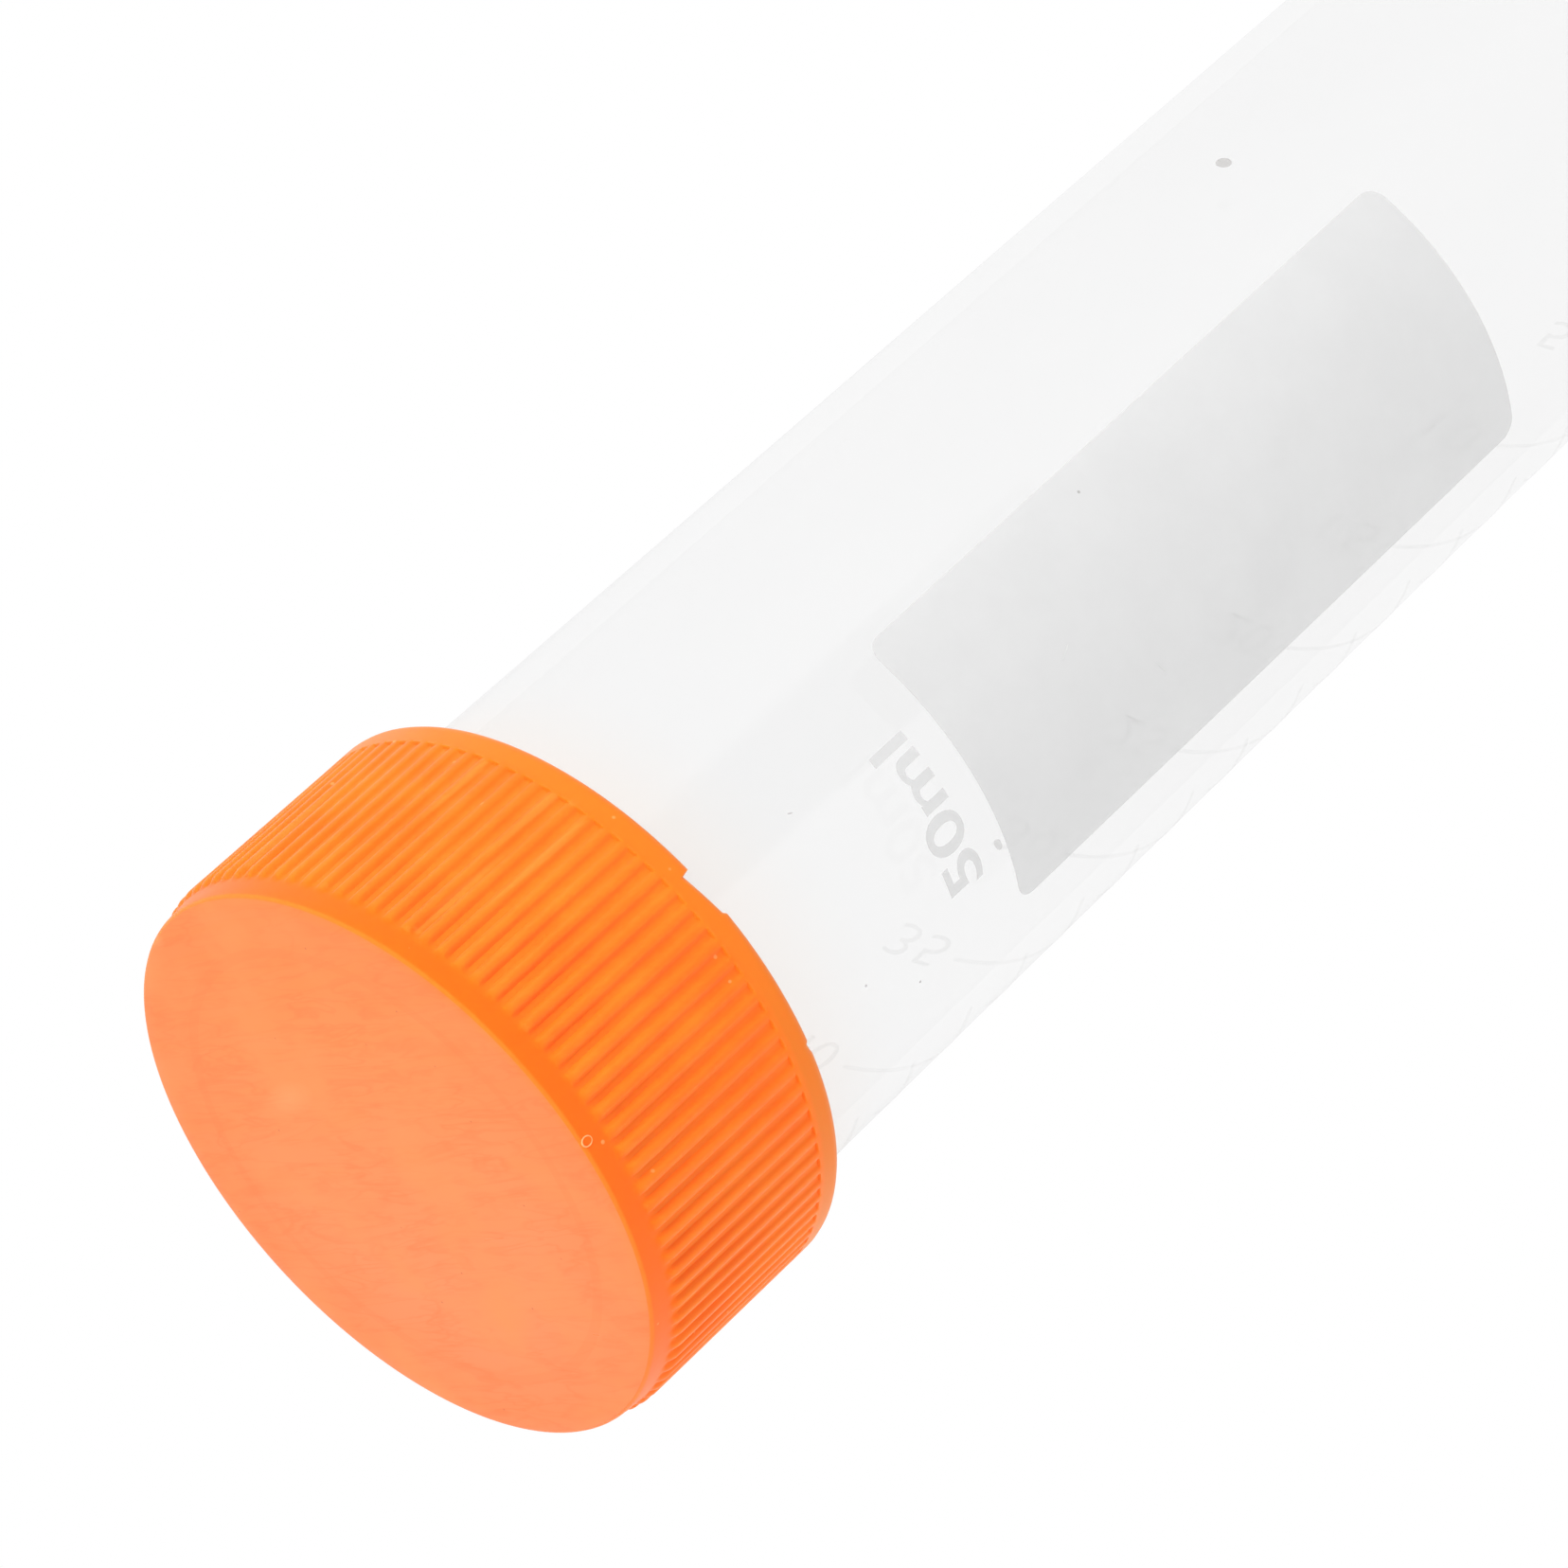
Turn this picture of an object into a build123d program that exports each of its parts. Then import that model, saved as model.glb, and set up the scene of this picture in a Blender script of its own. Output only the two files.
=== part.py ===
from build123d import *
import math
import os

# Frame: the tube stands upside down on its flat screw cap. Z = 0 is the outer face of the cap, +Z runs
# along the axis towards the conical bottom, and the writing patch faces -Y.

# Screw cap
CAP_HEIGHT = 14.0
CAP_RIM_RADIUS = 16.65
CAP_SHOULDER_RADIUS = 16.45
CAP_FACE_RADIUS = 16.3
CAP_EDGE_ROUND = 0.3
CAP_TOP_THICKNESS = 1.6
CAP_BORE_RADIUS = 15.3
CAP_RIM_ROUND = 0.35
CAP_MOUTH_CHAMFER = 0.3

# Grip grooves between the ribs of the cap
RIB_COUNT = 96
GROOVE_FLOOR_RADIUS = 16.35
GROOVE_WIDTH = 0.56
GROOVE_START = 1.55
GROOVE_END = 12.4

# Plug seal ring inside the cap
PLUG_RADIUS = 13.22
PLUG_WALL = 0.9
PLUG_DEPTH = 3.2
PLUG_TIP_ROUND = 0.35

# Notch broken out of the cap rim
NOTCH_ANGLE = -108.5
NOTCH_WIDTH = 2.6
NOTCH_DEPTH = 0.45
NOTCH_RUN_OUT = 1.7

# Tube
TUBE_LENGTH_END = 115.0
MOUTH_Z = 1.65
NECK_RADIUS = 14.2
NECK_END_Z = 12.7
SHOULDER_END_Z = 13.5
WALL_RADIUS_AT_ZERO = 14.529
WALL_DRAFT = 0.007
WALL_THICKNESS = 1.2
CONE_START_Z = 97.2
TIP_RADIUS = 3.6
TIP_ROUND = 2.2
TIP_INNER_RADIUS = 2.5
TIP_INNER_ROUND = 1.5
BOTTOM_THICKNESS = 1.4
CONE_INNER_START_Z = 96.9
BODY_TO_CONE_ROUND = 1.2
MOUTH_ROUND = 0.35


def wall_radius(z: float) -> float:
    """Outer radius of the drafted tube wall at a height."""
    return WALL_RADIUS_AT_ZERO - WALL_DRAFT * z


def bore_radius(z: float) -> float:
    """Inner radius of the drafted tube wall at a height."""
    return wall_radius(z) - WALL_THICKNESS


os.makedirs("parts", exist_ok=True)

# ---- Screw cap: one moulding with face, ribbed skirt, rim band and plug seal ring
rim_top = CAP_HEIGHT - CAP_RIM_ROUND
mouth_low = CAP_HEIGHT - CAP_MOUTH_CHAMFER
mouth_wide = CAP_BORE_RADIUS + CAP_MOUTH_CHAMFER
plug_end = CAP_TOP_THICKNESS + PLUG_DEPTH
plug_inner = PLUG_RADIUS - PLUG_WALL

with BuildPart() as screw_cap:
    with BuildSketch(Plane.XZ) as cap_section:
        with BuildLine():
            Polyline(
                (0, 0),
                (CAP_FACE_RADIUS, 0),
                (CAP_SHOULDER_RADIUS, GROOVE_START - 0.5),
                (CAP_RIM_RADIUS, GROOVE_START),
                (CAP_RIM_RADIUS, rim_top),
                (CAP_RIM_RADIUS - CAP_RIM_ROUND, CAP_HEIGHT),
                (mouth_wide, CAP_HEIGHT),
                (CAP_BORE_RADIUS, mouth_low),
                (CAP_BORE_RADIUS, CAP_TOP_THICKNESS),
                (PLUG_RADIUS, CAP_TOP_THICKNESS),
                (PLUG_RADIUS, plug_end - PLUG_TIP_ROUND),
                (PLUG_RADIUS - PLUG_TIP_ROUND, plug_end),
                (plug_inner, plug_end),
                (plug_inner, CAP_TOP_THICKNESS),
                (0, CAP_TOP_THICKNESS),
                close=True,
            )
        make_face()
        face_corner = cap_section.vertices().filter_by_position(Axis.X, 16.29, 16.31)
        fillet(face_corner, radius=CAP_EDGE_ROUND)
    revolve(axis=Axis.Z)

    # grip grooves, open outwards and square at both ends
    groove_reach = CAP_RIM_RADIUS - GROOVE_FLOOR_RADIUS + 1.0
    with BuildSketch(Plane.XY.offset(GROOVE_START)):
        with PolarLocations(GROOVE_FLOOR_RADIUS + groove_reach / 2, RIB_COUNT):
            Rectangle(groove_reach, GROOVE_WIDTH)
    extrude(amount=GROOVE_END - GROOVE_START, mode=Mode.SUBTRACT)

    # notch in the rim: a steep step on one side that runs out on the other
    notch_plane = Plane(
        origin=(0, 0, 0),
        x_dir=(-math.sin(math.radians(NOTCH_ANGLE)), math.cos(math.radians(NOTCH_ANGLE)), 0),
        z_dir=(math.cos(math.radians(NOTCH_ANGLE)), math.sin(math.radians(NOTCH_ANGLE)), 0),
    )
    with BuildSketch(notch_plane.offset(CAP_BORE_RADIUS - 0.5)):
        with BuildLine():
            Polyline(
                (-NOTCH_WIDTH / 2, CAP_HEIGHT + 0.2),
                (-NOTCH_WIDTH / 2, CAP_HEIGHT - NOTCH_DEPTH),
                (NOTCH_WIDTH / 2 - NOTCH_RUN_OUT, CAP_HEIGHT - NOTCH_DEPTH),
                (NOTCH_WIDTH / 2, CAP_HEIGHT),
                (NOTCH_WIDTH / 2, CAP_HEIGHT + 0.2),
                close=True,
            )
        make_face()
    extrude(amount=3.0, mode=Mode.SUBTRACT)

# ---- Tube body: one moulding with neck, drafted wall and conical bottom
with BuildPart() as tube_body:
    with BuildSketch(Plane.XZ) as tube_section:
        with BuildLine():
            Polyline(
                (bore_radius(MOUTH_Z), MOUTH_Z),
                (NECK_RADIUS, MOUTH_Z),
                (NECK_RADIUS, NECK_END_Z),
                (wall_radius(SHOULDER_END_Z), SHOULDER_END_Z),
                (wall_radius(CONE_START_Z), CONE_START_Z),
                (TIP_RADIUS, TUBE_LENGTH_END),
                (0, TUBE_LENGTH_END),
                (0, TUBE_LENGTH_END - BOTTOM_THICKNESS),
                (TIP_INNER_RADIUS, TUBE_LENGTH_END - BOTTOM_THICKNESS),
                (bore_radius(CONE_INNER_START_Z), CONE_INNER_START_Z),
                close=True,
            )
        make_face()
        corners = tube_section.vertices()
        lip = corners.filter_by_position(Axis.Y, MOUTH_Z - 0.01, MOUTH_Z + 0.01)
        fillet(lip.sort_by(Axis.X)[-1], radius=MOUTH_ROUND)
        tip = tube_section.vertices().filter_by_position(Axis.X, TIP_RADIUS - 0.01, TIP_RADIUS + 0.01)
        fillet(tip, radius=TIP_ROUND)
        well = tube_section.vertices().filter_by_position(
            Axis.X, TIP_INNER_RADIUS - 0.01, TIP_INNER_RADIUS + 0.01
        )
        fillet(well, radius=TIP_INNER_ROUND)
        cone_edge = tube_section.vertices().filter_by_position(
            Axis.Y, CONE_START_Z - 0.01, CONE_START_Z + 0.01
        )
        fillet(cone_edge, radius=BODY_TO_CONE_ROUND)
    revolve(axis=Axis.Z)

screw_cap.part.label = "screw_cap"
export_step(screw_cap.part, "parts/screw_cap.step")

tube_body.part.label = "tube_body"
export_step(tube_body.part, "parts/tube_body.step")
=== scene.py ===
"""A 50 ml conical centrifuge tube of clarified polypropylene, standing on its orange screw cap.

The row frame is the CAD frame: Z = 0 is the outer face of the cap, +Z runs along the axis towards the
conical bottom and the writing patch faces -Y. Shapes are worked out in millimetres and leave in metres.
"""

import logging
import math
from dataclasses import dataclass, field
from enum import Enum
from functools import partial
from typing import Any, Callable

import bmesh
import bpy
from bmesh.types import BMesh, BMVert
from bpy.types import Material, Node, NodeSocket, NodeTree, Object
from mathutils import Matrix, Vector


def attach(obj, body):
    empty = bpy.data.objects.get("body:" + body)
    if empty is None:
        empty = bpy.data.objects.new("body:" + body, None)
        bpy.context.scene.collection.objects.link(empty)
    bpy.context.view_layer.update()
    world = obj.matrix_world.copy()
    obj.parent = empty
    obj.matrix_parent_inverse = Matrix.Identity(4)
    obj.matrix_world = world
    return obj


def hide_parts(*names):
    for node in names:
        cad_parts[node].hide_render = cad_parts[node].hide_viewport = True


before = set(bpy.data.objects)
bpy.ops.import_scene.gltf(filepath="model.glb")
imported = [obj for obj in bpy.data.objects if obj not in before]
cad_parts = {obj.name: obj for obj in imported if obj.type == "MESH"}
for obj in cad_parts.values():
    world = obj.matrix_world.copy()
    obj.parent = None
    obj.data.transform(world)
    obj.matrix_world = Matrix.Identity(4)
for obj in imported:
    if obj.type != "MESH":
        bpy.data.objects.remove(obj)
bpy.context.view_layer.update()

LOG = logging.getLogger("conical_tube")
MM = 0.001
# In millimetres: how near a corner lies on a cutting plane, becomes one with another, or lies on the axis
ON_PLANE = 1e-5
SAME_PLACE = 1e-4
ON_AXIS = 1e-6
# How far a radius may be off and still belong to a run of a section
SAME_RUN = 0.01


class Body(Enum):
    """The two CAD bodies that pieces ride on."""

    CAP = "cap"
    TUBE = "tube"


class Slot(Enum):
    """The record's two material slots."""

    CAP = "cap_plastic"
    TUBE = "tube_plastic"


# ---- Colour and node helpers


def linear(code: str) -> tuple[float, float, float, float]:
    """Turns an sRGB hex value into a linear colour.

    Args:
        code: Six hex digits after a hash.

    Returns:
        Red, green, blue and an alpha of one.
    """
    shares = [int(code[i : i + 2], 16) / 255 for i in (1, 3, 5)]
    values = [s / 12.92 if s <= 0.04045 else ((s + 0.055) / 1.055) ** 2.4 for s in shares]
    return (values[0], values[1], values[2], 1.0)


def add_node(
    tree: NodeTree, kind: str, inputs: dict[str | int, Any] | None = None, **settings: Any
) -> Node:
    """Adds one node with its settings, its fixed inputs and its links.

    Args:
        tree: The node tree that gets the node.
        kind: The node's Blender type, without the ShaderNode that it begins with.
        inputs: Input name or number to a fixed value, to the output socket that feeds it, or to the
            node whose first output in use feeds it.
        **settings: Attributes of the node itself.

    Returns:
        The new node.
    """
    node = tree.nodes.new("ShaderNode" + kind)
    for name, value in settings.items():
        setattr(node, name, value)
    for name, value in (inputs or {}).items():
        if isinstance(value, Node):
            value = next(socket for socket in value.outputs if socket.enabled)
        if isinstance(value, NodeSocket):
            tree.links.new(value, node.inputs[name])
        else:
            node.inputs[name].default_value = value
    return node


def layered_plastic(
    add: Callable[..., Node], colour: str, layers: list[tuple[Node, str]], inputs: dict[str, Any]
) -> Node:
    """Adds a plastic's shader, whose colour is built up from tints laid over one another.

    Args:
        add: What adds a node to the material's tree.
        colour: The colour underneath, as an sRGB hex value.
        layers: The node that says how much each tint covers, with the tint's sRGB hex value.
        inputs: The shader's other inputs.

    Returns:
        The shader node.
    """
    under = linear(colour)
    for share, tint in layers:
        under = add("Mix", {0: share, 6: under, 7: linear(tint)}, data_type="RGBA")
    return add("BsdfPrincipled", {"Base Color": under, **inputs})


def per_metre(size_mm: float) -> float:
    """The texture scale at which one cell of a pattern is this many millimetres."""
    return 1.0 / (size_mm * MM)


def new_material(name: str) -> tuple[Material, Callable[..., Node], NodeSocket]:
    """Starts a node material with nothing in it but object coordinates.

    Args:
        name: The material's name.

    Returns:
        The material, add_node bound to its empty tree, and the Object output of its coordinates.
    """
    material = bpy.data.materials.new(name)
    material.use_nodes = True
    material.node_tree.nodes.clear()
    add = partial(add_node, material.node_tree)
    return material, add, add("TexCoord").outputs["Object"]


# ---- Finishes


@dataclass(frozen=True)
class MouldedOrangeSkirt:
    """High-density polyethylene skirt, injection moulded in a finely spark-eroded steel cavity.

    It gives the eye a full, warm orange that glows a little from inside, with a soft low sheen, a barely
    uneven grain and paler crests where handling has burnished it. On top of this is painted light: a darker
    shoulder as painted shade, a browner rim band for light shining through the thin rim, a pale line round
    the face's edge as a painted glint, and sparse pale dots as painted glints on the ribs.
    The grain is drawn coarser than real spark erosion, so that it shows.
    """

    colour: str = "#FF7D18"
    deep: str = "#FF7210"
    burnished: str = "#FF8C34"
    # Darker shoulder tint: painted shade
    shoulder: str = "#FE6B06"
    # Browner rim band tint: painted light, standing in for light shining through the thin rim
    rim: str = "#EC7B16"
    # Pale line round the face's edge: a painted glint
    worn_edge: str = "#FF7C20"
    sheen: str = "#FFD8C0"
    # Pale dots on the skirt: painted glints on the ribs
    speck: str = "#FFAC68"
    # Heights where each tint starts and where it is full, in millimetres
    shoulder_run: tuple[float, float] = (1.9, 1.0)
    rim_run: tuple[float, float] = (12.2, 12.9)
    edge_run: tuple[float, float] = (0.24, 0.08)
    roughness: float = 0.42
    specular: float = 0.22
    glow: float = 0.55
    glow_mm: float = 0.9
    grain_mm: float = 0.22
    mottle_mm: float = 4.0
    speck_mm: float = 0.13
    speck_apart_mm: float = 2.4

    def build(self) -> Material:
        """Makes the material.

        Returns:
            The material.
        """
        material, add, place = new_material("hdpe_orange_moulded_skirt")
        mottle = add(
            "TexNoise",
            {"Vector": place, "Scale": per_metre(self.mottle_mm), "Detail": 3.0, "Roughness": 0.55},
        )
        body = add("MapRange", {"Value": mottle, "From Min": 0.35, "From Max": 0.7})
        crest = add("NewGeometry").outputs["Pointiness"]
        worn = add("MapRange", {"Value": crest, "From Min": 0.51, "From Max": 0.6, "To Max": 0.5})
        layers = [(body, self.colour), (worn, self.burnished)]
        height = add("SeparateXYZ", {"Vector": place}).outputs["Z"]
        # These three tints are painted light: painted shade on the shoulder, light shining through the thin
        # rim band, and a painted glint round the face's edge
        runs = (self.shoulder_run, self.rim_run, self.edge_run)
        for (start, full), tint in zip(runs, (self.shoulder, self.rim, self.worn_edge)):
            near = add(
                "MapRange", {"Value": height, "From Min": start * MM, "From Max": full * MM},
                interpolation_type="SMOOTHSTEP",
            )
            layers.append((near, tint))
        # Sparse pale dots: painted glints on the ribs
        specks = add("TexVoronoi", {"Vector": place, "Scale": per_metre(self.speck_apart_mm)})
        size = self.speck_mm / self.speck_apart_mm
        dot = add("MapRange", {"Value": specks, "From Min": size, "From Max": size * 0.6, "To Max": 0.6})
        layers.append((dot, self.speck))
        grain = add(
            "TexNoise",
            {"Vector": place, "Scale": per_metre(self.grain_mm), "Detail": 2.0, "Roughness": 0.5},
        )
        bump = add("Bump", {"Height": grain, "Strength": 0.18, "Distance": 0.02 * MM})
        gloss = add(
            "MapRange",
            {"Value": mottle, "To Min": self.roughness - 0.06, "To Max": self.roughness + 0.08},
        )
        shader = layered_plastic(
            add, self.deep, layers,
            {
                "Roughness": gloss,
                "IOR": 1.5,
                "Specular IOR Level": self.specular,
                "Subsurface Weight": self.glow,
                "Subsurface Radius": (1.0, 0.45, 0.2),
                "Subsurface Scale": self.glow_mm * MM,
                "Sheen Weight": 0.28,
                "Sheen Roughness": 0.45,
                "Sheen Tint": linear(self.sheen),
                "Normal": bump,
            },
        )
        add("OutputMaterial", {"Surface": shader})
        return material


@dataclass(frozen=True)
class TornOrangeEdge:
    """High-density polyethylene where it was chipped and pulled into a curl.

    It gives the eye a paler, drier orange than the moulded faces: partly stress whitening, partly a painted
    highlight standing in for the pale line of light on the chip's facet and the curl.
    """

    colour: str = "#FF9448"
    whitened: str = "#FFB880"
    roughness: float = 0.5
    fibre_mm: float = 0.35

    def build(self) -> Material:
        """Makes the material.

        Returns:
            The material.
        """
        material, add, place = new_material("hdpe_orange_torn_edge")
        fibres = add(
            "TexNoise",
            {"Vector": place, "Scale": per_metre(self.fibre_mm), "Detail": 3.0, "Roughness": 0.6},
        )
        shader = layered_plastic(
            add, self.colour, [(fibres, self.whitened)],
            {
                "Roughness": self.roughness,
                "IOR": 1.5,
                "Normal": add("Bump", {"Height": fibres, "Strength": 0.4, "Distance": 0.05 * MM}),
            },
        )
        add("OutputMaterial", {"Surface": shader})
        return material


@dataclass(frozen=True)
class PolishedOrangeFace:
    """High-density polyethylene face, moulded against a polished core plate and then handled.

    It gives the eye a smoother, milkier orange than the skirt, with a web of fine darker streaks, two pale
    smears, a faint ring, soft cloudy patches and a few dark specks. It is painted pinker towards +X:
    painted light, a paler reflection on that side of the face.
    """

    colour: str = "#FF8229"
    pink: str = "#FF864B"
    edge: str = "#FF7B2C"
    streak: str = "#FA6C14"
    cloud: str = "#FF8A3C"
    smear: str = "#FF9E5A"
    speck: str = "#B8541C"
    roughness: float = 0.3
    pink_reach: float = 14.0
    edge_from: float = 9.0
    edge_full: float = 15.0
    streak_width_mm: float = 1.1
    streak_length_mm: float = 7.0
    streak_turn: float = 12.0
    # The two sets of streaks: how far each is turned from the first, in degrees, and how strong it is
    streak_sets: tuple[tuple[float, float], ...] = ((0.0, 0.42), (58.0, 0.26))
    cloud_mm: float = 6.0
    # Pale smears: centre, then half size, in millimetres
    smears: tuple[tuple[float, float, float, float], ...] = ((-4.5, 5.0, 1.0, 2.6), (-14.3, 7.5, 0.5, 0.9))
    ring_radius: float = 12.9
    ring_half_width: float = 0.3
    speck_mm: float = 0.08
    speck_apart_mm: float = 4.0

    def build(self) -> Material:
        """Makes the material.

        Returns:
            The material.
        """
        material, add, place = new_material("hdpe_orange_polished_face")
        side = add("SeparateXYZ", {"Vector": place})
        # Painted light: the face grows pinker towards +X, as a paler reflection on that side
        lit_side = add(
            "MapRange",
            {"Value": side, "From Min": -self.pink_reach * MM, "From Max": self.pink_reach * MM},
        )
        clouds = add(
            "TexNoise",
            {"Vector": place, "Scale": per_metre(self.cloud_mm), "Detail": 3.0, "Roughness": 0.5},
        )
        cloudy = add("MapRange", {"Value": clouds, "From Min": 0.45, "From Max": 0.72, "To Max": 0.7})
        worked = add("MapRange", {"Value": clouds, "From Min": 0.62, "From Max": 0.42, "To Min": 0.15})
        flat = add("CombineXYZ", {"X": side, "Y": side.outputs["Y"]})
        radius = add("VectorMath", {0: flat}, operation="LENGTH").outputs["Value"]
        rimward = add(
            "MapRange",
            {"Value": radius, "From Min": self.edge_from * MM, "From Max": self.edge_full * MM,
             "To Max": 0.7},
        )
        layers = [(lit_side, self.pink), (rimward, self.edge), (cloudy, self.cloud)]
        for turned, strength in self.streak_sets:
            along = add(
                "Mapping",
                {
                    "Vector": place,
                    "Rotation": (0.0, 0.0, math.radians(self.streak_turn + turned)),
                    "Scale": (per_metre(self.streak_width_mm), per_metre(self.streak_length_mm), 1.0),
                },
            )
            streaks = add(
                "TexNoise",
                {"Vector": along, "Scale": 1.0, "Detail": 2.5, "Roughness": 0.6, "Distortion": 0.6},
            )
            middle = add("Math", {0: streaks, 1: 0.5}, operation="SUBTRACT")
            off = add("Math", {0: middle}, operation="ABSOLUTE")
            vein = add("MapRange", {"Value": off, "From Min": 0.05, "From Max": 0.0, "To Max": strength})
            veined = add("Math", {0: vein, 1: worked}, operation="MULTIPLY")
            layers.append((veined, self.streak))
        ring = add(
            "Math", {0: radius, 1: self.ring_radius * MM, 2: self.ring_half_width * MM},
            operation="COMPARE",
        )
        layers.append((add("Math", {0: ring, 1: 0.18}, operation="MULTIPLY"), self.streak))
        for x, y, half_width, half_length in self.smears:
            near_smear = add(
                "Mapping",
                {
                    "Vector": place,
                    "Location": (x * MM, y * MM, 0.0),
                    "Rotation": (0.0, 0.0, math.radians(-self.streak_turn)),
                    "Scale": (half_width * MM, half_length * MM, 1.0),
                },
                vector_type="TEXTURE",
            )
            smear = add("TexGradient", {"Vector": near_smear}, gradient_type="SPHERICAL")
            uneven = add("Math", {0: smear.outputs["Fac"], 1: streaks}, operation="MULTIPLY")
            layers.append((uneven, self.smear))
        dots = add(
            "TexVoronoi", {"Vector": place, "Scale": per_metre(self.speck_apart_mm)},
            voronoi_dimensions="2D",
        )
        size = self.speck_mm / self.speck_apart_mm
        dot = add("MapRange", {"Value": dots, "From Min": size, "From Max": size * 0.5})
        chance = add(
            "MapRange",
            {"Value": dots.outputs["Color"], "From Min": 0.6, "From Max": 0.75, "To Max": 0.6},
        )
        layers.append((add("Math", {0: dot, 1: chance}, operation="MULTIPLY"), self.speck))
        gloss = add(
            "MapRange",
            {"Value": streaks, "To Min": self.roughness - 0.08, "To Max": self.roughness + 0.12},
        )
        bump = add("Bump", {"Height": streaks, "Strength": 0.12, "Distance": 0.02 * MM})
        shader = layered_plastic(
            add, self.colour, layers,
            {
                "Roughness": gloss,
                "IOR": 1.5,
                "Normal": bump,
            },
        )
        add("OutputMaterial", {"Surface": shader})
        return material


@dataclass(frozen=True)
class ClarifiedPolypropylene:
    """Clarified polypropylene, injection moulded with a thin, even wall.

    It gives the eye a clear wall with a trace of grey milk in it, which mirrors the surroundings faintly
    head on and more at a glance. Near the cap it carries a painted warm tint and a little more milk,
    painted light that stands in for the orange light the cap throws into the wall.
    """

    name: str
    haze: float
    colour: str = "#B6B6B7"
    cloud: str = "#AEAEAF"
    warm: str = "#DCB07C"
    warm_haze: float = 0.06
    warm_from: float = 22.0
    warm_full: float = 13.0
    roughness: float = 0.12
    glance: float = 0.16
    head_on: float = 0.04
    cloud_mm: float = 9.0
    ripple_mm: float = 3.0

    def build(self) -> Material:
        """Makes the material.

        Returns:
            The material.
        """
        material, add, place = new_material(self.name)
        stretched = add("Mapping", {"Vector": place, "Scale": (1.0, 1.0, 0.4)})
        clouds = add(
            "TexNoise",
            {"Vector": stretched, "Scale": per_metre(self.cloud_mm), "Detail": 3.0, "Roughness": 0.5},
        )
        height = add("SeparateXYZ", {"Vector": place}).outputs["Z"]
        # Painted light: a warm tint and extra milk near the cap stand in for the cap's orange light in the
        # wall
        near_cap = add(
            "MapRange",
            {"Value": height, "From Min": self.warm_from * MM, "From Max": self.warm_full * MM},
            interpolation_type="SMOOTHSTEP",
        )
        uneven = add(
            "MapRange",
            {"Value": clouds, "From Min": 0.3, "From Max": 0.7, "To Min": self.haze * 0.9,
             "To Max": self.haze * 1.1},
        )
        cover = add("Math", {0: near_cap, 1: self.warm_haze, 2: uneven}, operation="MULTIPLY_ADD")
        ripple = add("TexNoise", {"Vector": stretched, "Scale": per_metre(self.ripple_mm), "Detail": 1.0})
        bump = add("Bump", {"Height": ripple, "Strength": 0.1, "Distance": 0.03 * MM})
        milk = layered_plastic(
            add, self.colour, [(clouds, self.cloud), (near_cap, self.warm)],
            {
                "Roughness": self.roughness,
                "IOR": 1.49,
                "Specular IOR Level": 0.0,
                "Alpha": cover,
                "Normal": bump,
            },
        )
        # More mirror at a glance, where the eye looks along the wall
        facing = add("LayerWeight", {"Blend": 0.5, "Normal": bump}).outputs["Facing"]
        slant = add("Math", {0: facing, 1: 5.0}, operation="POWER")
        share = add("MapRange", {"Value": slant, "To Min": self.head_on, "To Max": self.glance})
        gloss = add(
            "BsdfGlossy",
            {"Color": (0.96, 0.96, 0.96, 1.0), "Roughness": self.roughness, "Normal": bump},
        )
        both = add("MixShader", {0: share, 1: milk, 2: gloss})
        add("OutputMaterial", {"Surface": both})
        return material


@dataclass(frozen=True)
class EtchedPolypropylene:
    """The graduation relief: the wall's own plastic moulded off etched lines.

    It gives the eye faint matt lines, a little greyer and warmer than the clear wall.
    """

    name: str = "pp_clarified_etched_lines"
    colour: str = "#A8A4A0"
    cloud: str = "#98938E"
    thin: float = 0.018
    thick: float = 0.028
    roughness: float = 0.45
    cloud_mm: float = 2.0

    def build(self) -> Material:
        """Makes the material.

        Returns:
            The material.
        """
        material, add, place = new_material(self.name)
        clouds = add("TexNoise", {"Vector": place, "Scale": per_metre(self.cloud_mm), "Detail": 2.0})
        cover = add(
            "MapRange",
            {"Value": clouds, "From Min": 0.35, "From Max": 0.65, "To Min": self.thin,
             "To Max": self.thick},
        )
        milk = layered_plastic(
            add, self.colour, [(clouds, self.cloud)],
            {
                "Roughness": self.roughness,
                "IOR": 1.49,
                "Alpha": cover,
            },
        )
        add("OutputMaterial", {"Surface": milk})
        return material


@dataclass(frozen=True)
class PadPrintedInk:
    """Pad-printed one-part ink, laid on in one thin matt coat and dried.

    It gives the eye a flat, light grey film that lets some of the light behind it through, with a faint
    unevenness of coverage and fine dust pits.
    """

    name: str
    colour: str
    thin: str
    roughness: float = 0.55
    cover: float = 0.42
    cover_mm: float = 5.0
    grain_mm: float = 0.18

    def build(self) -> Material:
        """Makes the material.

        Returns:
            The material.
        """
        material, add, place = new_material(self.name)
        cloud = add(
            "TexNoise",
            {"Vector": place, "Scale": per_metre(self.cover_mm), "Detail": 4.0, "Roughness": 0.6},
        )
        share = add("MapRange", {"Value": cloud, "From Min": 0.35, "From Max": 0.7})
        grain = add("TexNoise", {"Vector": place, "Scale": per_metre(self.grain_mm), "Detail": 2.0})
        shader = layered_plastic(
            add, self.colour, [(share, self.thin)],
            {
                "Roughness": self.roughness,
                "IOR": 1.5,
                "Specular IOR Level": 0.2,
                "Alpha": self.cover,
                "Normal": add("Bump", {"Height": grain, "Strength": 0.12, "Distance": 0.01 * MM}),
            },
        )
        add("OutputMaterial", {"Surface": shader})
        return material


@dataclass(frozen=True)
class SettledDust(PadPrintedInk):
    """Grey dust and grime, settled on the wall and rubbed in by handling.

    It gives the eye small matt grey dots that let some of the light behind them through, as a thin coat of
    ink does.
    """


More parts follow.
